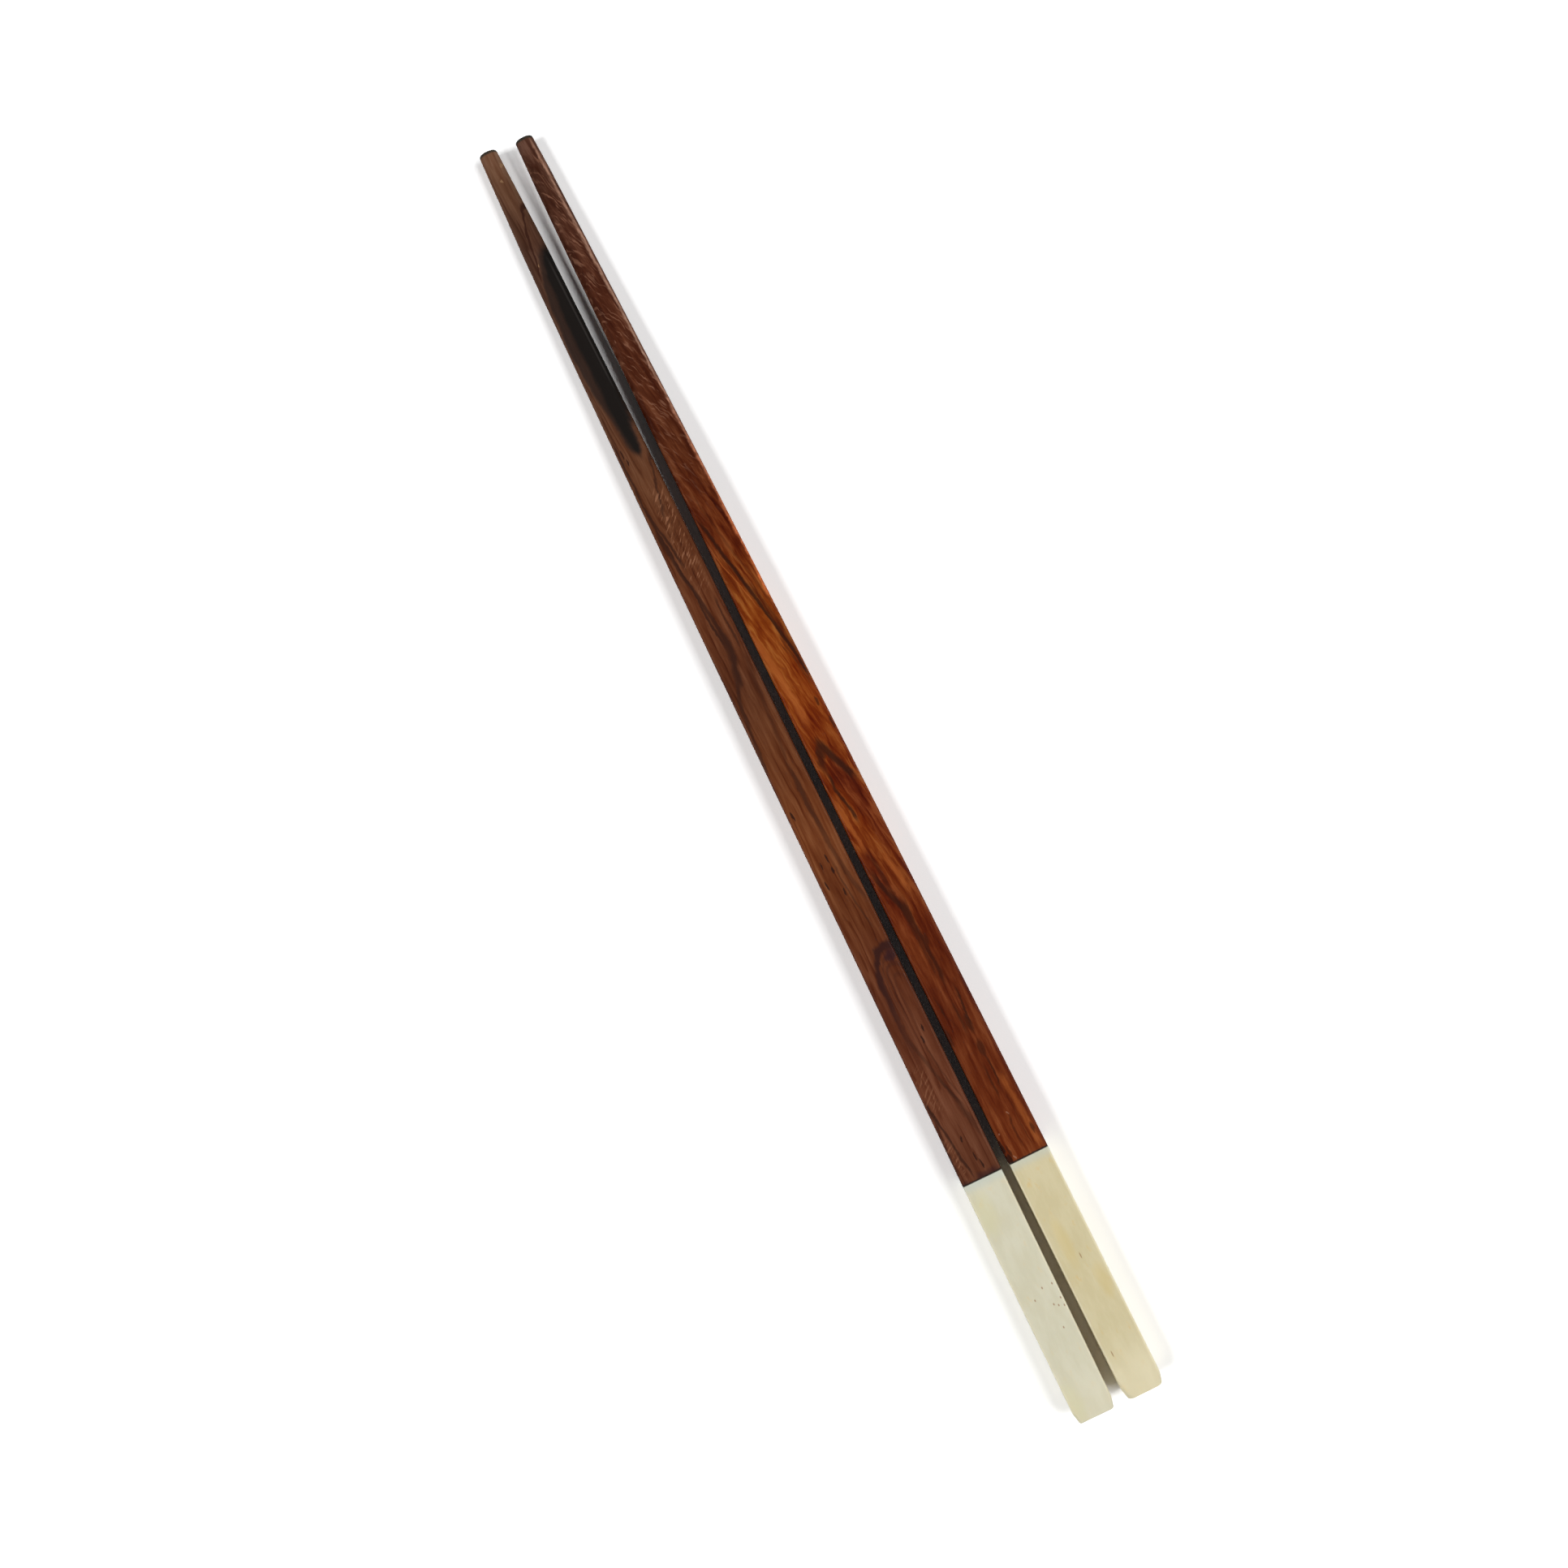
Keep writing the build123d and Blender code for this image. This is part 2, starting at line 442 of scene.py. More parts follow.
# Brown stick: a black streak near the tip, a knot near the joint, wavy growth lines between
leftWood = {
    # ground colour by place, in millimetres from the tip
    "zones": [
        (0.0, (116, 82, 62)), (6.0, (98, 66, 47)), (20.0, (74, 47, 35)), (38.0, (88, 60, 45)),
        (66.0, (94, 56, 35)), (90.0, (95, 51, 29)), (107.0, (84, 45, 26)), (118.0, (98, 54, 30)),
        (136.0, (108, 58, 30)), (150.0, (95, 49, 25)), (166.0, (90, 46, 27)),
        (186.0, (98, 54, 35)), (203.0, (92, 52, 34)),
    ],
    "tilt": 0.55,  # how far the figure leans down the sides
    "slant": 0.015,  # how far the grain runs across for each millimetre along
    "slantEnd": 203.0,
    # how much each kind of grain changes the depth of the colour
    "growth": 0.24,
    "broad": 0.7,
    "streaks": 0.36,
    "fibre": 0.2,
    "streakRate": 0.085,
    "streakFineness": 1.3,
    "calm": 0.6,  # share of the streaks and fibres that is left near both ends of the wood
    "streakOuter": [
        (18.5, 1.5), (24.0, 0.3), (30.0, -0.3), (34.5, -0.5), (45.0, -0.4), (53.3, -0.3), (58.0, 0.1),
        (62.0, 0.8),
    ],
    "streakInner": [
        (18.5, 1.6), (24.0, 2.5), (44.0, 3.0), (48.5, 2.5), (54.3, 2.1), (59.0, 1.6), (62.0, 0.9),
    ],
    "fringeOuter": [
        (17.5, 1.2), (24.0, -0.6), (29.0, -1.75), (34.5, -2.4), (41.0, -2.5), (46.0, -2.0), (54.0, -0.9),
        (59.0, -0.3), (63.0, 0.5),
    ],
    # softness across, and fade at both ends, in millimetres
    "streakSoftness": (0.9, 2.5),
    "fringeSoftness": (0.9, 3.0),
    "fringeReach": 0.4,
    "fringeShare": 0.93,
    "streakColour": (24, 20, 18),
    "fringeColour": (44, 31, 26),
    # painted highlight along the black edge: its path, band (width, softness, fade), share and colour
    "paintedGlint": [(20.0, 1.45), (35.0, 1.8), (50.0, 2.15)],
    "paintedGlintBand": (0.3, 1.0, 6.0),
    "paintedGlintShare": 0.5,
    "paintedGlintColour": (62, 58, 56),
    "lineColour": (52, 27, 18),
    # dark growth lines: path, half width, strength
    "lines": [
        ([(8.5, 1.9), (10.8, 1.3), (18.0, -0.1), (26.7, -1.7)], 0.30, 0.95),
        ([(56.0, -2.6), (63.0, -2.4), (70.8, -2.3), (76.6, -1.35), (84.0, -0.4)], 0.34, 0.85),
        ([(60.0, 2.6), (63.6, 2.2), (69.4, 0.75), (74.0, -0.1)], 0.36, 0.75),
        ([(74.0, -2.5), (83.7, -1.4), (92.0, -0.15), (100.4, 0.4), (104.5, -0.4), (107.0, -1.5)], 0.5, 0.85),
        ([(94.0, -0.1), (100.4, 0.35), (104.5, -0.5), (107.5, -1.7)], 1.0, 0.7),
        ([(103.5, -0.4), (106.6, -1.6), (110.8, -2.4), (117.0, -2.8), (124.0, -3.1)], 0.5, 0.7),
        ([(70.0, -2.6), (83.0, -1.3), (93.0, -0.6), (100.0, 0.1)], 0.28, 0.9),
        ([(100.0, 2.45), (110.0, 1.9), (125.6, 0.87), (136.0, 1.2)], 0.5, 0.32),
        ([(88.2, 1.9), (94.0, 2.1), (101.0, 2.2)], 0.28, 0.7),
        ([(122.0, 0.9), (133.0, 1.1), (140.1, 1.5), (146.0, 2.3), (150.3, 3.2)], 0.6, 0.5),
        ([(140.0, 0.4), (147.0, 0.8), (156.0, 2.2)], 0.26, 0.5),
        ([(185.0, -3.6), (189.0, -3.1), (196.0, -2.1), (203.0, -1.2)], 0.34, 0.85),
        ([(174.0, -1.5), (177.0, -0.8), (183.7, 0.75), (190.6, 2.4), (195.3, 3.5)], 0.5, 0.48),
        ([(183.0, 0.4), (187.0, 1.6), (191.5, 3.3)], 0.3, 0.5),
        ([(188.5, 1.5), (193.5, 2.6), (197.5, 3.7)], 0.45, 0.4),
        ([(176.0, 0.9), (184.0, 2.0), (190.0, 3.4)], 0.22, 0.35),
        ([(186.0, -3.6), (190.0, -3.3), (196.0, -3.5), (203.0, -3.6)], 0.4, 0.7),
    ],
    "knotPlace": (166.0, 2.25),
    "knotSize": (7.6, 3.6),
    # share of the knot's size, thickness, strength
    "knotRings": [(1.0, 0.19, 0.95), (0.72, 0.08, 0.3), (0.5, 0.08, 0.4), (0.28, 0.07, 0.25)],
    "knotFade": (184.0, 164.0),
    "knotColour": (50, 24, 20),
    "stains": [((160.6, 2.5), 1.6, 1.5, 0.7), ((203.6, 1.2), 2.4, 3.2, 0.6), ((203.4, -3.0), 1.6, 1.2, 0.5)],
    "stainColour": (40, 22, 28),
    "pores": [
        (59.8, -1.75), (61.7, -1.38), (144.6, -2.24), (141.3, -1.52), (140.2, -0.18), (142.6, -0.1),
        (146.8, 0.12), (131.1, -2.33), (176.4, 1.17), (174.6, 2.08), (198.9, 0.46), (200.2, 0.87),
        (195.4, -0.3),
    ],
    "poreSize": (0.95, 0.2),
    "poreLook": (0.9, 0.6),  # strength and softness
    "poreColour": (42, 21, 15),
    "dots": [
        ((6.4, 0.2), 0.5, 0.25), ((8.3, 1.3), 0.8, 0.2), ((10.2, 1.45), 0.7, 0.2), ((17.6, 1.7), 1.3, 0.35),
        ((22.5, -0.6), 0.4, 0.2), ((3.2, 0.9), 0.6, 0.2),
    ],
    "dotLook": (0.6, 0.8),
    "dotColour": (150, 116, 84),
    # light ripples: from, to, across from, across to, slope, strength
    "ripples": [
        (66.0, 89.0, -0.4, 2.2, 1.1, 0.75), (178.5, 191.0, -3.4, -1.0, 1.0, 0.36),
        (192.0, 205.0, -3.6, -2.3, 0.8, 0.46),
    ],
    "scratches": [
        ([(194.6, -1.5), (195.6, -0.2), (196.5, 1.0)], 0.15, 0.8),
        ([(196.4, 1.0), (197.4, 2.0), (198.2, 2.8)], 0.12, 0.3),
    ],
    # how softly a patch of ripples ends, and where its noise makes them light or dark
    "rippleFade": 4.0,
    "rippleOuterFade": (-0.6, 0.5),
    "rippleInnerFade": (0.5, -0.5),
    "combLights": (0.54, 0.64),
    "combDarks": (0.44, 0.34),
    "combDarkShare": 0.6,
    "rippleColour": (144, 98, 72),
}

# Red stick: curly light figure near the tip, orange middle with dark slanting streaks
rightWood = {
    "zones": [
        (0.0, (81, 50, 38)), (8.0, (70, 41, 29)), (30.0, (71, 35, 21)), (62.0, (78, 35, 16)),
        (82.0, (98, 41, 13)), (96.0, (128, 62, 18)), (112.0, (125, 56, 15)), (124.0, (110, 46, 12)),
        (137.0, (119, 53, 15)), (148.0, (102, 42, 12)), (160.0, (91, 35, 10)), (172.0, (91, 37, 14)),
        (203.0, (106, 48, 20)),
    ],
    "tilt": -0.7,
    "slant": 0.13,
    "slantEnd": 152.0,  # from here to the joint the grain runs straight
    "growth": 0.15,
    "broad": 0.9,
    "streaks": 1.6,
    "fibre": 0.5,
    "streakRate": 0.15,
    "streakFineness": 1.15,
    "calm": 0.42,
    "lineColour": (46, 18, 8),
    "lines": [
        ([(75.0, -2.5), (82.4, -1.27), (90.0, 0.1), (96.9, 1.32), (104.0, 2.5), (110.9, 3.4)], 0.5, 0.9),
        ([(88.0, 0.3), (94.0, 1.5), (100.0, 2.4), (106.0, 3.1)], 0.7, 0.5),
        ([(70.0, -1.4), (80.0, 0.0), (88.0, 1.6), (96.0, 3.0)], 0.34, 0.3),
        ([(99.0, 1.1), (105.0, 2.0), (112.0, 2.8)], 0.26, 0.55),
        ([(83.0, -1.0), (87.0, -0.35), (91.5, 0.2)], 0.18, 0.75),
        ([(93.0, 0.4), (97.5, 1.3), (102.0, 2.0)], 0.16, 0.7),
        ([(100.5, 0.5), (103.0, 1.2), (105.5, 1.9)], 0.2, 0.65),
        ([(141.3, -1.4), (148.0, -1.1), (154.1, -0.7), (167.7, -0.5)], 0.5, 0.5),
        ([(150.0, 0.3), (156.0, 0.1), (163.0, 0.3), (170.0, 0.1)], 0.5, 0.4),
        ([(171.0, -0.2), (174.0, -0.15), (179.5, -0.1)], 0.5, 0.6),
        ([(169.4, -2.6), (173.0, -2.4), (176.0, -2.2)], 0.24, 0.7),
        ([(174.0, -1.8), (177.6, -1.2)], 0.2, 0.6),
        ([(183.4, -0.15), (192.0, -0.1)], 0.32, 0.6),
        ([(193.0, 0.1), (197.0, -0.1), (201.6, -0.1)], 0.22, 0.5),
        ([(168.5, 1.5), (171.0, 1.45), (175.0, 1.25), (179.0, 1.0)], 0.32, 0.8),
        ([(182.0, 1.15), (185.5, 1.1), (190.5, 0.7)], 0.28, 0.75),
        ([(190.0, 1.2), (196.0, 1.3), (202.0, 1.2)], 0.12, 0.45),
        ([(118.8, -1.6), (121.4, -0.5), (124.0, 0.4), (127.3, 1.7), (130.5, 2.6)], 0.95, 0.9),
        ([(119.4, -0.6), (121.6, -1.4), (123.3, -1.9), (126.8, -2.1)], 0.75, 0.75),
        ([(124.6, -2.3), (126.8, -1.8), (129.5, -1.8), (133.5, -1.1), (137.5, -0.6)], 0.4, 0.85),
        ([(144.0, -2.9), (148.0, -2.2), (152.0, -1.0), (156.0, 0.5)], 0.7, 0.8),
        ([(150.0, -0.8), (155.0, -0.2), (162.0, 0.3), (170.0, 0.5)], 0.7, 0.55),
    ],
    "lights": [
        ([(80.0, -3.0), (85.3, -2.0), (90.5, -0.6), (95.0, 0.3)], 0.12, 0.5),
        ([(96.0, -1.2), (101.0, 0.2), (105.0, 1.2)], 0.10, 0.35),
        ([(97.0, -3.2), (106.0, -2.0), (118.0, -1.1)], 0.9, 0.5),
        ([(142.0, 0.6), (147.0, 1.4), (152.0, 2.0)], 0.7, 0.45),
        ([(130.0, -2.9), (138.0, -2.3), (143.0, -1.9)], 0.6, 0.45),
        ([(186.0, 1.7), (194.0, 2.3), (203.0, 2.9)], 0.8, 0.35),
    ],
    "lightColour": (163, 88, 40),
    "blotches": [
        ((121.6, -1.2), 1.8, 0.9), ((154.6, -0.2), 2.8, 0.8), ((160.3, 0.9), 1.7, 0.4),
        ((113.9, 2.25), 1.0, 0.4), ((118.3, 3.0), 1.6, 0.35), ((176.8, 0.9), 2.3, 0.65),
        ((181.9, 1.0), 2.3, 0.75), ((198.6, 2.9), 1.4, 0.35), ((177.5, -3.4), 2.2, 0.4),
        ((200.6, -2.7), 1.3, 0.25),
    ],
    "blotchLook": (0.75, 0.8),  # strength and softness
    "blotchColour": (58, 23, 9),
    # broad dark red ground: place, length, width, share
    "grounds": [
        ((127.0, 0.2), 5.0, 1.7, 0.9), ((131.5, 1.3), 5.5, 1.9, 0.9), ((137.5, 2.2), 7.5, 1.7, 0.8),
        ((145.5, -2.2), 6.0, 1.7, 0.85), ((153.0, -1.4), 8.0, 2.2, 0.7),
    ],
    "groundColour": (92, 34, 11),
    "dots": [(194.0, -0.05), (197.3, -2.9), (201.4, -2.4)],
    "dotSize": (0.22, 0.18),
    "dotLook": (0.6, 0.6),
    "chips": [((201.8, -3.4), 1.2, 0.6), ((199.3, -3.6), 1.3, 0.45)],
    "chipLook": (0.85, 0.5),
    "chipColour": (34, 15, 8),
    # curly figure: where it fades, and where its noise makes a light stroke, a dark one or a gap
    "curlTipFade": (1.0, 7.0),
    "curlFade": (82.0, 50.0),
    "curlLights": (0.52, 0.64),
    "curlDarks": (0.47, 0.36),
    "curlGaps": (0.38, 0.56),
    "curlLightShare": 0.42,
    "curlDarkShare": 0.34,
    "curlColour": (148, 104, 82),
    # the outer edge, rubbed paler and with a painted highlight where its rounding faces the light: half width
    # and softness, strength and how uneven it is
    "wornAndHighlitEdge": [(0.0, 1.25), (10.0, 1.6), (40.0, 2.4), (62.0, 2.75), (96.0, 3.2)],
    "wornHighlightBand": (0.62, 0.9),
    "wornHighlightShare": 0.78,
    "wornHighlightRipple": 2.0,
    "wornHighlightFade": (102.0, 88.0),
    "wornHighlightColours": [
        (0.0, (168, 126, 104)), (45.0, (170, 132, 112)), (65.0, (178, 112, 82)), (88.0, (196, 102, 54)),
    ],
}


# Grain of both sticks: rates along, across and into the wood, then detail, roughness and distortion
grain = {
    "wander": ((0.22, 0.5, 0.3), 3.0),
    "ripple": ((0.9, 1.6, 1.0), 2.0),
    "broad": ((0.06, 0.8, 0.5), 3.0, 0.6),
    "ringBend": ((0.03, 0.28, 0.3), 3.0, 0.55),
    "ringFade": ((0.07, 0.6, 1.0), 2.0),
    "fibre": ((0.26, 5.0, 4.0), 3.0, 0.65),
    "pores": ((0.75, 5.5, 5.0), 1.0, 0.4),
    "comb": ((1.9, 0.7, 1.0), 2.0),
    "curl": ((0.28, 2.3, 0.8), 2.0, 0.5, 0.7),
    "curlBreaks": ((0.4, 1.1, 1.0), 2.0),
    "streakShape": (3.0, 0.55, 0.5),
    "streakWander": 1.5,
    "zoneWander": 9.0,
    # how far the listed marks wander, in millimetres
    "alongWander": 3.0,
    "acrossWander": 1.1,
    "acrossRipple": 0.35,
    # growth rings: how close they lie, how far they bend, and the shares of a ring where it darkens and ends
    "ringRate": 0.5,
    "ringBending": 3.2,
    "ringDensity": 1.6,
    "ringDarkens": (0.45, 0.85),
    "ringEnds": (1.0, 0.88),
    "ringFaint": (0.38, 0.66),
    "densityRange": (0.8, 1.5),
    # towards the tip and the joint the streaks are calmer, from the first place to the second
    "calmTip": (80.0, 50.0),
    "calmJoint": (140.0, 165.0),
    "poreEdge": (0.31, 0.22),
    "poreShare": 0.55,
    "poreTint": (0.42, 0.36, 0.34, 1.0),
    "curlSlope": 0.42,
    "curlWander": 2.0,
}
woodEnds = {
    # the tip's dark end: end grain with painted shade
    "tipGrainAndShade": (36, 40, 36),
    "tipFibre": (84, 68, 52),
    "tipFibreRate": 4.5,
    "tipFibreShape": (3.0, 0.6),
    "tipFibreEdge": (0.46, 0.68),
    "tipFibreShare": 0.6,
    "tipFade": (0.75, 0.45),
    "tipUnevenness": 0.2,
    "glueColour": (38, 30, 26),
    "glueFade": (0.34, 0.14),
    "glueUnevenness": 0.35,
    "share": 0.9,
}
woodSkin = {
    "roughness": 0.25,
    "sideRoughness": 0.5,  # the sides are handled less than the top and stay rougher
    "sideFade": (0.15, 0.9),
    "fibreRoughness": 0.14,
    "poreRoughness": 0.2,
    "fibreRelief": 0.6,
    "poreRelief": 0.8,
    "ringRelief": 0.2,
    "reliefStrength": 0.25,
    "reliefDepth": 0.00004,
    "specular": 0.04,
}


# One stick's wood while its material is made: the place on the surface and the noise that follows the grain
class WoodFace:
    def __init__(self, side):
        self.side = side
        self.spec = leftWood if side == "left" else rightWood
        self.length = woodLengthOf(side)
        self.sheet = Sheet(bpy.data.materials.new(side + "WoodGrain"))
        self.across, self.along, self.depth = self.sheet.place()
        # the figure goes on down the sides, leaning
        self.surface = self.across - self.depth * self.spec["tilt"]
        self.acrossGrain = self.surface - self.along.least(self.spec["slantEnd"]) * self.spec["slant"]
        self.wander = self.texture("wander", self.along, self.surface) - 0.5
        self.ripple = self.texture("ripple", self.along, self.surface) - 0.5
        # the listed marks wander a little, as grain does
        wandering = self.surface + self.wander * grain["acrossWander"] + self.ripple * grain["acrossRipple"]
        self.figure = Figure(self.sheet, self.along + self.wander * grain["alongWander"], wandering)

    def texture(self, kind, along, across):
        return self.sheet.texture(grain[kind], along, across, self.depth)

    def cover(self, colour, share, tint):
        return self.sheet.mix(share, colour, paint(*self.spec[tint]))

    def bands(self, colour, marks, tint):
        for path, width, strength in marks:
            colour = self.cover(colour, self.figure.band(path, width) * strength, tint)
        return colour

    # a spot may have a share of its own after its place, length and width
    def spots(self, colour, marks, tint, strength=1.0, soft=0.8):
        for place, length, width, *share in marks:
            spot = self.figure.spot(place, length, width, soft)
            colour = self.cover(colour, spot * math.prod([strength, *share]), tint)
        return colour


def grainColour(face):
    sheet, spec, along, depth = face.sheet, face.spec, face.along, face.depth
    stops = [(place / face.length, paint(*tint)) for place, tint in spec["zones"]]
    colour = sheet.ramp((along + face.wander * grain["zoneWander"]) / face.length, stops)
    if face.side == "right":
        colour = face.spots(colour, spec["grounds"], "groundColour")
    # grain is a change of depth of the same colour: above 1 is denser, below 1 paler
    face.broad = face.texture("broad", along, face.acrossGrain)
    bend = face.texture("ringBend", along, face.surface) * grain["ringBending"]
    rings = sheet.maths("FRACT", (face.acrossGrain * grain["ringRate"] + bend) * grain["ringDensity"])
    faint = face.texture("ringFade", along, face.acrossGrain).smooth(*grain["ringFaint"])
    face.growth = rings.smooth(*grain["ringDarkens"]) * rings.smooth(*grain["ringEnds"]) * faint
    streakPlace = face.acrossGrain * spec["streakFineness"] + face.wander * grain["streakWander"]
    streaks = sheet.noise(sheet.vector(along * spec["streakRate"], streakPlace, depth), *grain["streakShape"])
    face.fibre = face.texture("fibre", along, face.acrossGrain)
    ends = along.smooth(*grain["calmTip"]) + along.smooth(*grain["calmJoint"])
    calm = between(1.0, spec["calm"], ends)
    density = 1 + face.growth * spec["growth"] + (0.5 - face.broad) * spec["broad"]
    density = density + ((0.5 - streaks) * spec["streaks"] + (0.5 - face.fibre) * spec["fibre"]) * calm
    low, high = grain["densityRange"]
    return sheet.node("ShaderNodeGamma", {}, {"Color": colour, "Gamma": density.most(low).least(high)})


def blackStreak(face, colour):
    figure, spec = face.figure, face.spec
    fringeInner = [(place, across + spec["fringeReach"]) for place, across in spec["streakInner"]]
    fringe = figure.patch(spec["fringeOuter"], fringeInner, *spec["fringeSoftness"])
    colour = face.cover(colour, fringe * spec["fringeShare"], "fringeColour")
    streak = figure.patch(spec["streakOuter"], spec["streakInner"], *spec["streakSoftness"])
    colour = face.cover(colour, streak, "streakColour")
    # painted highlight: a straight light line along the polished black edge, where it would catch the light
    paintedGlint = Figure(face.sheet, face.along, face.across).band(spec["paintedGlint"], *spec["paintedGlintBand"])
    return face.cover(colour, paintedGlint * spec["paintedGlintShare"], "paintedGlintColour")


def brownMarks(face, colour):
    spec, along, surface = face.spec, face.along, face.surface
    for at, thickness, strength in spec["knotRings"]:
        ring = face.figure.knot(spec["knotPlace"], *spec["knotSize"], at, thickness)
        colour = face.cover(colour, ring * along.smooth(*spec["knotFade"]) * strength, "knotColour")
    colour = face.spots(colour, spec["stains"], "stainColour")
    pores = [(place, *spec["poreSize"]) for place in spec["pores"]]
    colour = face.spots(colour, pores, "poreColour", *spec["poreLook"])
    colour = face.spots(colour, spec["dots"], "dotColour", *spec["dotLook"])
    colour = face.bands(colour, spec["scratches"], "rippleColour")
    for start, end, outer, inner, slope, share in spec["ripples"]:
        comb = face.texture("comb", along + surface * slope, surface)
        fade = spec["rippleFade"]
        inside = along.smooth(start, start + fade) * along.smooth(end, end - fade)
        inside = inside * surface.smooth(*(outer + reach for reach in spec["rippleOuterFade"]))
        inside = inside * surface.smooth(*(inner + reach for reach in spec["rippleInnerFade"]))
        inside = inside * (face.broad + 0.5).least(1.0)
        light = comb.smooth(*spec["combLights"]) * inside * share
        colour = face.cover(colour, light, "rippleColour")
        dark = comb.smooth(*spec["combDarks"]) * inside * share * spec["combDarkShare"]
        colour = face.cover(colour, dark, "lineColour")
    return colour


def redMarks(face, colour):
    sheet, spec, along = face.sheet, face.spec, face.along
    colour = face.spots(colour, spec["blotches"], "blotchColour", *spec["blotchLook"])
    colour = face.spots(colour, spec["chips"], "chipColour", *spec["chipLook"])
    dots = [(place, *spec["dotSize"]) for place in spec["dots"]]
    colour = face.spots(colour, dots, "curlColour", *spec["dotLook"])
    # painted highlight and wear: the outer edge is painted paler where its rounding faces the light and where
    # it is rubbed
    wornAndHighlit = face.figure.band(spec["wornAndHighlitEdge"], *spec["wornHighlightBand"])
    wornAndHighlit = wornAndHighlit * (spec["wornHighlightShare"] + face.ripple * spec["wornHighlightRipple"]) * along.smooth(*spec["wornHighlightFade"])
    wornHighlightEnd = spec["wornHighlightColours"][-1][0]
    wornHighlightStops = [(place / wornHighlightEnd, paint(*tint)) for place, tint in spec["wornHighlightColours"]]
    colour = sheet.mix(wornAndHighlit.most(0.0).least(1.0), colour, sheet.ramp(along / wornHighlightEnd, wornHighlightStops))
    # curly figure: thin light strokes that slant across the face, with dark ones between
    slanted = along * grain["curlSlope"] - face.surface + face.wander * grain["curlWander"]
    curl = face.texture("curl", along, slanted)
    curly = along.smooth(*spec["curlFade"]) * along.smooth(*spec["curlTipFade"])
    breaks = face.texture("curlBreaks", along, slanted).smooth(*spec["curlGaps"])
    light = curl.smooth(*spec["curlLights"]) * breaks * curly * spec["curlLightShare"]
    colour = face.cover(colour, light, "curlColour")
    dark = curl.smooth(*spec["curlDarks"]) * curly * spec["curlDarkShare"]
    return face.cover(colour, dark, "blotchColour")


# the tip's darker end, its end grain with painted shade on the rounding that turns away from the light, and
# the glue line at the joint
def endColours(face, colour):
    sheet, rate = face.sheet, woodEnds["tipFibreRate"]
    tipGrainAndShadeMask = (face.along + face.ripple * woodEnds["tipUnevenness"]).smooth(*woodEnds["tipFade"])
    cutSpot = sheet.vector(face.across * rate, 0.0, face.depth * rate)
    cutFibre = sheet.noise(cutSpot, *woodEnds["tipFibreShape"]).smooth(*woodEnds["tipFibreEdge"])
    tipColour = sheet.mix(
        cutFibre * woodEnds["tipFibreShare"], paint(*woodEnds["tipGrainAndShade"]), paint(*woodEnds["tipFibre"]))
    colour = sheet.mix(tipGrainAndShadeMask * woodEnds["share"], colour, tipColour)
    start, end = (face.length - reach for reach in woodEnds["glueFade"])
    glue = (face.along + face.ripple * woodEnds["glueUnevenness"]).smooth(start, end)
    return sheet.mix(glue * woodEnds["share"], colour, paint(*woodEnds["glueColour"]))


def makeWoodMaterial(side):
    face = WoodFace(side)
    sheet = face.sheet
    colour = grainColour(face)
    if side == "left":
        colour = blackStreak(face, colour)
    else:
        colour = face.bands(colour, face.spec["lights"], "lightColour")
    colour = face.bands(colour, face.spec["lines"], "lineColour")
    colour = brownMarks(face, colour) if side == "left" else redMarks(face, colour)

    # short open pores all over
    pores = face.texture("pores", face.along, face.acrossGrain).smooth(*grain["poreEdge"])
    poreColour = sheet.mix(1.0, colour, grain["poreTint"], "MULTIPLY")
    colour = sheet.mix(pores * grain["poreShare"], colour, poreColour)
    colour = endColours(face, colour)

    relief = face.fibre * woodSkin["fibreRelief"] - pores * woodSkin["poreRelief"]
    relief = relief - face.growth * woodSkin["ringRelief"]
    normal = sheet.node("ShaderNodeBump", {}, {
        "Strength": woodSkin["reliefStrength"], "Distance": woodSkin["reliefDepth"], "Height": relief})
    roughness = woodSkin["roughness"] + (face.fibre - 0.5) * woodSkin["fibreRoughness"]
    roughness = roughness + pores * woodSkin["poreRoughness"]
    roughness = roughness + face.depth.smooth(*woodSkin["sideFade"]) * woodSkin["sideRoughness"]
    shader = sheet.node("ShaderNodeBsdfPrincipled", {}, {
        "Base Color": colour, "Roughness": roughness, "Normal": normal,
        "Specular IOR Level": woodSkin["specular"]})
    return sheet.finish(shader)


# Bone: smooth cream block, faintly mottled, with a few open pores
leftBone = {
    "colour": (207, 203, 180),
    "shade": (195, 189, 161),
    "warm": (210, 192, 148),
    # painted highlight colour of the top edges and the end, with its share at the end; the inner colour is
    # painted bounce light between the caps
    "edge": (232, 224, 196),
    "endHighlightShare": 0.22,
    "inner": (240, 224, 188),
    "stainTint": (205, 199, 156),
    "canal": (168, 148, 108),
    "pores": [
        (225.1, 1.06), (226.6, -1.03), (228.6, 1.69), (229.1, 2.41), (225.1, 3.0), (228.0, 3.3),
        (229.5, 3.34), (233.0, 1.5),
    ],
    "poreSize": (0.28, 0.15),
    "stains": [((209.0, -2.4), 5.0, 2.8), ((246.0, -3.0), 5.0, 2.5)],
}
rightBone = {
    "colour": (205, 194, 157),
    "shade": (192, 179, 137),
    "warm": (206, 176, 112),
    # painted highlight colour of the top edges and the end, with its share at the end; the inner colour is
    # painted bounce light between the caps
    "edge": (240, 232, 204),
    "endHighlightShare": 0.35,
    "inner": (238, 220, 178),
    "stainTint": (203, 182, 122),
    "canal": (158, 136, 88),
    "pores": [(240.5, -2.41), (222.4, 0.32)],
    "poreSize": (0.7, 0.12),
    "stains": [((228.2, 2.1), 4.4, 1.5), ((219.0, -1.2), 6.0, 1.6)],
}


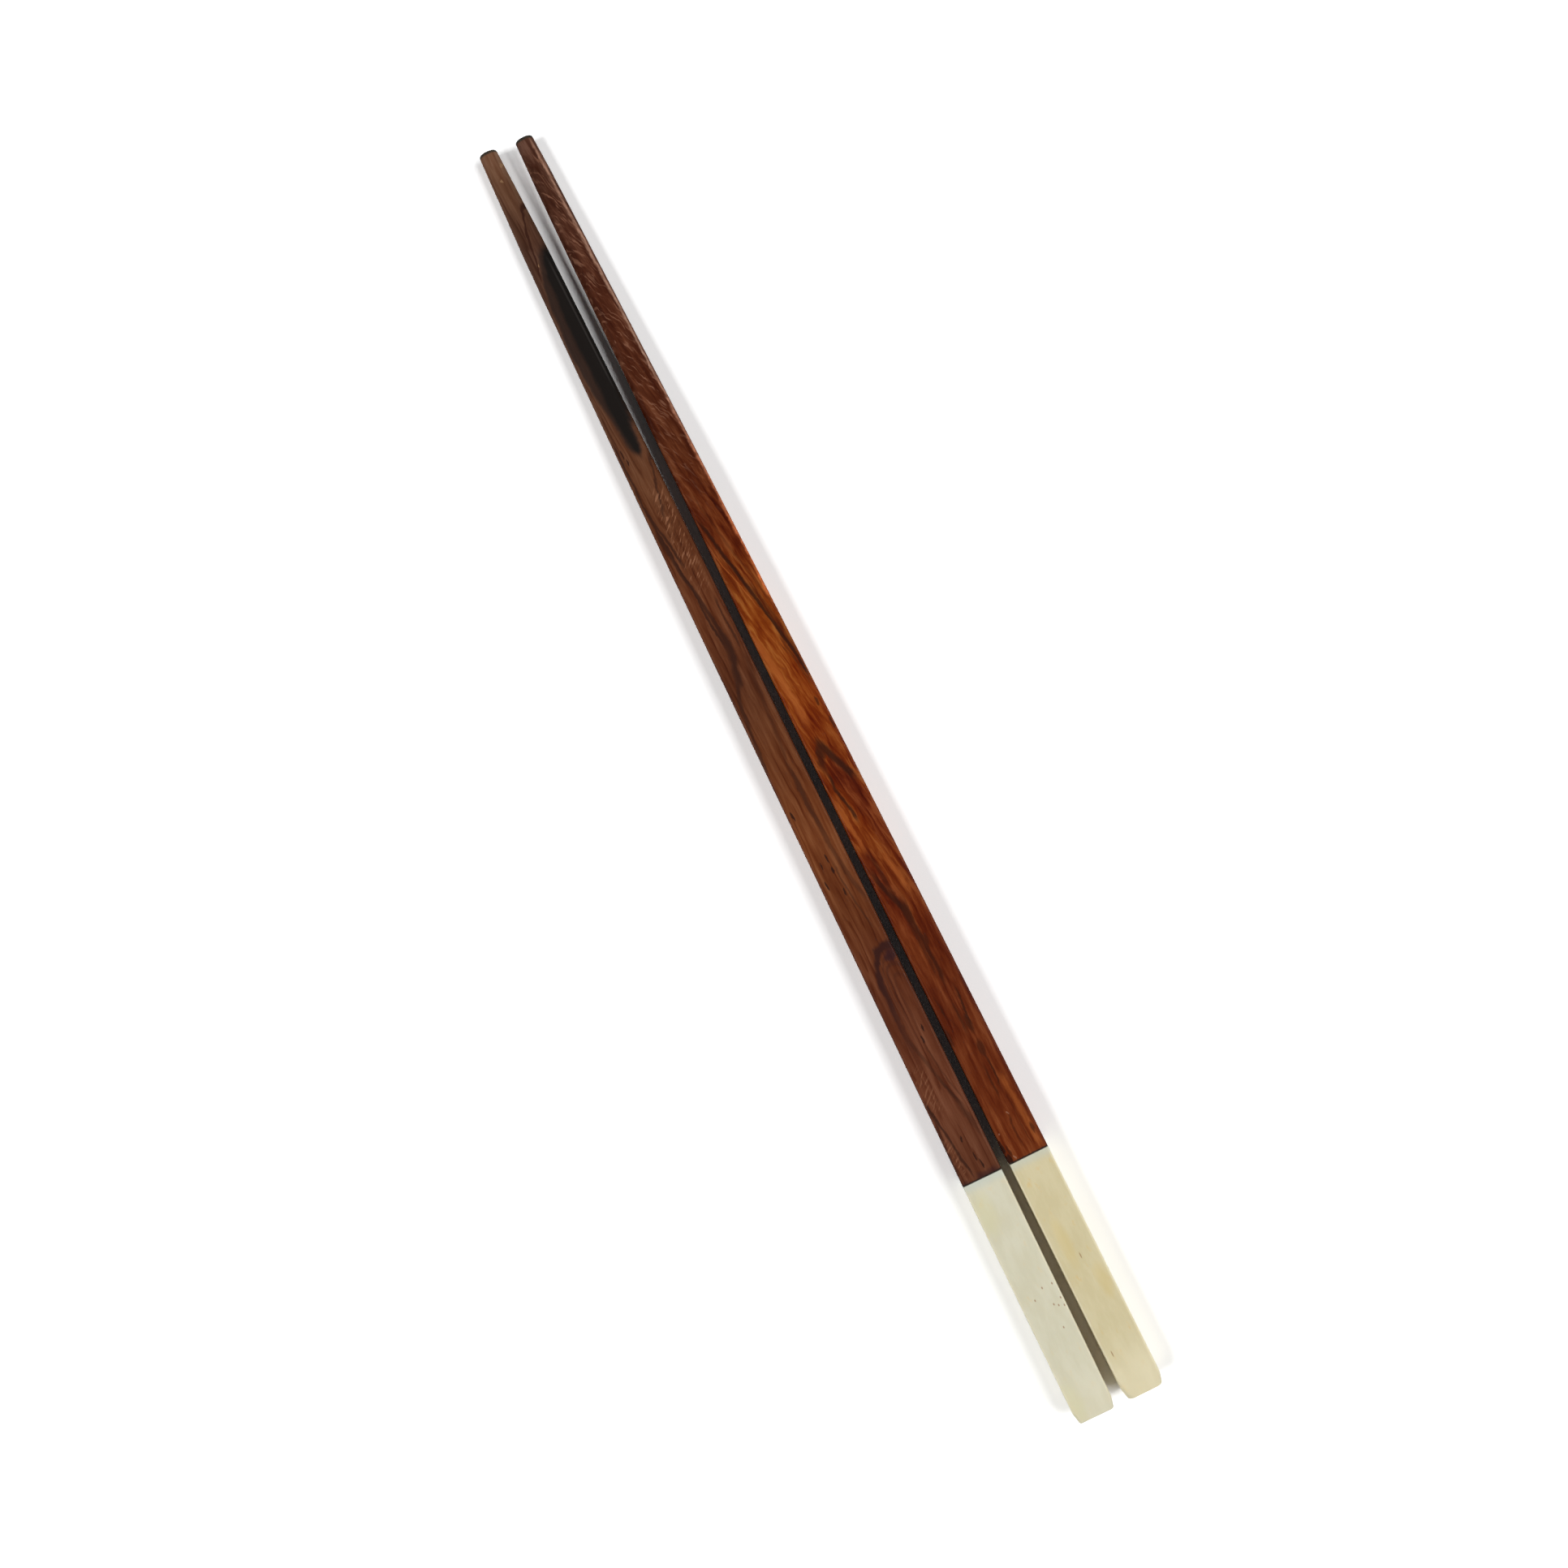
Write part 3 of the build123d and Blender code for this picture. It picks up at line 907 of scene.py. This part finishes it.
# Rates are cycles per millimetre. An edge is where the noise begins and ends to show its colour
boneGrain = {
    "cloud": ((0.11, 0.35, 0.35), 3.0, 0.6),
    "cloudEdge": (0.64, 0.38),
    "cloudShare": 0.5,
    "fibre": ((0.16, 3.4, 3.4), 3.0, 0.6),
    "fibreEdge": (0.46, 0.28),
    "fibreShare": 0.12,
    "stainRates": (0.33, 0.7, 0.7),
    "stainShape": (3.0, 0.6),
    "stainStart": 31.0,
    "stainEdge": (0.58, 0.76),
    "stainShare": 0.5,
    "canalRate": 3.2,
    "canalSlice": 7.0,
    "canalShape": (3.0, 0.65),
    "canalEdge": (0.40, 0.30),
    "canalShare": 0.5,
    "tilt": 0.6,
    "alongWander": 4.0,
    "placedStainShare": 0.45,
    # shares of the painted bounce light and the painted highlight
    "bounceLightShare": 0.7,
    "edgeShare": 0.6,
    "poreShare": 0.75,
    "poreColour": (146, 104, 62),
    "glueTint": (184, 194, 188),
    "glueTintShare": 0.5,
    "glueColour": (44, 40, 36),
    "glueShare": 0.85,
}
# where a colour begins and ends to show: millimetres past the joint, off the axis, below the top face
boneFades = {
    # painted highlight towards the end of the cap
    "paintedEndHighlight": (33.0, 46.0),
    "sawnEnd": (46.5, 46.9),
    "tintedJoint": (2.2, 0.3),
    "glueLine": (0.16, 0.05),
    # painted bounce light on the faces between the caps
    "bounceLitFace": (3.4, 3.75),
    "bounceLitDepth": (0.3, 2.5),
    # painted highlight along the top edges
    "edge": (3.35, 3.75),
    "edgeDepth": (0.6, 0.1),
}
boneSkin = {
    "roughness": 0.34,
    "fibreRoughness": 0.15,
    "stainRoughness": 0.1,
    "cloudRelief": 0.4,
    "fibreRelief": 0.5,
    "reliefStrength": 0.25,
    "reliefDepth": 0.00005,
    "specular": 0.25,
    "glow": 0.12,  # light that goes into the bone and comes out again
    "glowReach": (0.0012, 0.0009, 0.0006),
}


def makeBoneMaterial(side):
    spec = leftBone if side == "left" else rightBone
    look = boneGrain
    joint = woodLengthOf(side)
    sheet = Sheet(bpy.data.materials.new(side + "Bone"))
    across, along, depth = sheet.place()
    surface = across - depth * look["tilt"]

    def cover(colour, share, tint):
        return sheet.mix(share, colour, paint(*tint))

    def pastJoint(fade):
        return along.smooth(*(joint + reach for reach in boneFades[fade]))

    cloud = sheet.texture(look["cloud"], along, surface, depth)
    rates = look["stainRates"]
    stainSpot = sheet.vector(along * rates[0] + look["stainStart"], surface * rates[1], depth * rates[2])
    stain = sheet.noise(stainSpot, *look["stainShape"])
    fibre = sheet.texture(look["fibre"], along, surface, depth)
    colour = paint(*spec["colour"])
    colour = cover(colour, cloud.smooth(*look["cloudEdge"]) * look["cloudShare"], spec["shade"])
    colour = cover(colour, stain.smooth(*look["stainEdge"]) * look["stainShare"], spec["warm"])
    colour = cover(colour, fibre.smooth(*look["fibreEdge"]) * look["fibreShare"], spec["shade"])
    # painted highlight: the end part of the cap painted paler, as if lit more strongly
    colour = cover(colour, pastJoint("paintedEndHighlight") * spec["endHighlightShare"], spec["edge"])
    figure = Figure(sheet, along + (cloud - 0.5) * look["alongWander"], surface + (stain - 0.5))
    for place, length, width in spec["stains"]:
        spot = figure.spot(place, length, width, 1.0) * look["placedStainShare"]
        colour = cover(colour, spot, spec["stainTint"])
    # painted light: the faces that meet between the sticks are painted paler and warmer, as light bounced
    # between the caps, and the top edges painted paler, as a highlight
    inner = (across * -sides[side]).smooth(*boneFades["bounceLitFace"]) * depth.smooth(*boneFades["bounceLitDepth"])
    colour = cover(colour, inner * look["bounceLightShare"], spec["inner"])
    edge = abs(across).smooth(*boneFades["edge"]) * depth.smooth(*boneFades["edgeDepth"])
    colour = cover(colour, edge * look["edgeShare"], spec["edge"])
    figure = Figure(sheet, along, surface)
    for place in spec["pores"]:
        pore = figure.spot(place, *spec["poreSize"]) * look["poreShare"]
        colour = cover(colour, pore, look["poreColour"])
    # the sawn end shows the bone's fine canals
    canalSpot = sheet.vector(across * look["canalRate"], look["canalSlice"], depth * look["canalRate"])
    canals = sheet.noise(canalSpot, *look["canalShape"]).smooth(*look["canalEdge"])
    colour = cover(colour, canals * pastJoint("sawnEnd") * look["canalShare"], spec["canal"])
    # glue has drawn a cool tint into the bone beside the joint
    colour = cover(colour, pastJoint("tintedJoint") * look["glueTintShare"], look["glueTint"])
    colour = cover(colour, pastJoint("glueLine") * look["glueShare"], look["glueColour"])

    normal = sheet.node("ShaderNodeBump", {}, {
        "Strength": boneSkin["reliefStrength"], "Distance": boneSkin["reliefDepth"],
        "Height": cloud * boneSkin["cloudRelief"] + fibre * boneSkin["fibreRelief"]})
    roughness = boneSkin["roughness"] + (fibre - 0.5) * boneSkin["fibreRoughness"]
    roughness = roughness + stain * boneSkin["stainRoughness"]
    shader = sheet.node("ShaderNodeBsdfPrincipled", {}, {
        "Base Color": colour, "Roughness": roughness, "Normal": normal,
        "Specular IOR Level": boneSkin["specular"], "Subsurface Weight": boneSkin["glow"],
        "Subsurface Radius": boneSkin["glowReach"], "Subsurface Scale": 1.0})
    return sheet.finish(shader)


for side in sides:
    shank = makeWood(side)
    shank.data.materials.append(makeWoodMaterial(side))
    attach(shank, "root")
    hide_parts(side + "_shank")
    cap = makeBone(side)
    cap.data.materials.append(makeBoneMaterial(side))
    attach(cap, "root")
    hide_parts(side + "_cap")
print("stage: sticks made")


# Floor, light and camera
studio = {
    "floorSize": 3.0,
    "floorColour": (0.9, 0.9, 0.9, 1.0),
    # the colour of the same floor seen directly or as a reflection, where it is to be white
    "seenFloorColour": (1.32, 1.32, 1.32, 1.0),
    "whiteFade": (0.22, 0.4),  # here, in metres from the middle, the floor turns plain white
    "worldLevel": 0.06,
    "boxDistance": 1.4,
    # softboxes: azimuth, elevation, share of plain light on the floor, size in metres
    "boxes": {
        "keyBox": (-8, 64, 0.44, 0.55),
        "fillBox": (178, 56, 0.47, 0.45),
        "rimBox": (-35, 26, 0.11, 0.6),
    },
    "white": (1.0, 1.0, 1.0, 1.0),
}


# 1 for rays that show the background itself: straight to the camera, reflected or through glass. A ray that
# has met a dull surface on its way carries light and gets none of it
def seenRays(sheet):
    kinds = ("Is Camera Ray", "Is Glossy Ray", "Is Transmission Ray", "Diffuse Depth")
    camera, glossy, through, bounces = (sheet.node("ShaderNodeLightPath", {}, {}, kind) for kind in kinds)
    return (camera + glossy + through).least(1.0) * (1 - bounces.least(1.0))


def makeFloor():
    half = studio["floorSize"] / 2
    mesh = bpy.data.meshes.new("floor")
    corners = [(-half, -half, 0), (half, -half, 0), (half, half, 0), (-half, half, 0)]
    mesh.from_pydata(corners, [], [(0, 1, 2, 3)])
    floor = bpy.data.objects.new("floor", mesh)
    bpy.context.scene.collection.objects.link(floor)
    sheet = Sheet(bpy.data.materials.new("paleFloor"))
    seen = seenRays(sheet)
    colour = sheet.mix(seen, studio["floorColour"], studio["seenFloorColour"])
    paper = sheet.node("ShaderNodeBsdfDiffuse", {}, {"Color": colour})
    white = sheet.node("ShaderNodeEmission", {}, {"Color": studio["white"], "Strength": 1.0})
    spot = sheet.node("ShaderNodeTexCoord", {}, {}, "Object")
    distance = sheet.node("ShaderNodeVectorMath", {"operation": "LENGTH"}, {0: spot}, "Value")
    far = distance.smooth(*studio["whiteFade"]) * seen
    mesh.materials.append(sheet.finish(sheet.node("ShaderNodeMixShader", {}, {0: far, 1: paper, 2: white})))


def softbox(name, azimuth, elevation, level, size):
    turn, rise = math.radians(azimuth), math.radians(elevation)
    direction = Vector((math.cos(turn) * math.cos(rise), math.sin(turn) * math.cos(rise), math.sin(rise)))
    lamp = bpy.data.lights.new(name, "AREA")
    lamp.shape = "SQUARE"
    lamp.size = size
    # so bright that this box alone gives the floor its share of plain light
    lamp.energy = level * math.pi ** 2 * studio["boxDistance"] ** 2 / math.sin(rise)
    box = bpy.data.objects.new(name, lamp)
    box.location = direction * studio["boxDistance"]
    box.rotation_euler = direction.to_track_quat("Z", "Y").to_euler()
    bpy.context.scene.collection.objects.link(box)


def makeWorld():
    world = bpy.data.worlds.new("studioWorld")
    sheet = Sheet(world)
    dim = sheet.node("ShaderNodeBackground", {}, {"Color": studio["white"], "Strength": studio["worldLevel"]})
    full = sheet.node("ShaderNodeBackground", {}, {"Color": studio["white"], "Strength": 1.0})
    either = sheet.node("ShaderNodeMixShader", {}, {0: seenRays(sheet), 1: dim, 2: full})
    sheet.node("ShaderNodeOutputWorld", {}, {"Surface": either})
    bpy.context.scene.world = world


view = {
    "place": (-5.43, 0.08, 350.0),  # straight above the left stick, in millimetres
    "roll": -26.09,
    "frameSide": 1932,
    "focalLength": 2383.7,  # in pixels of that frame
    "sensorWidth": 36.0,
    "clipStart": 0.01,
}


def makeCamera():
    lens = bpy.data.cameras.new("viewCamera")
    lens.sensor_width = view["sensorWidth"]
    lens.lens = view["focalLength"] / view["frameSide"] * lens.sensor_width
    lens.clip_start = view["clipStart"]
    camera = bpy.data.objects.new("viewCamera", lens)
    camera.location = Vector(view["place"]) * millimetre
    camera.rotation_euler = (0, 0, math.radians(view["roll"]))
    bpy.context.scene.collection.objects.link(camera)
    bpy.context.scene.camera = camera


makeFloor()
makeWorld()
for name, box in studio["boxes"].items():
    softbox(name, *box)
makeCamera()
bpy.context.scene.view_settings.view_transform = "Standard"
print("stage: studio made")
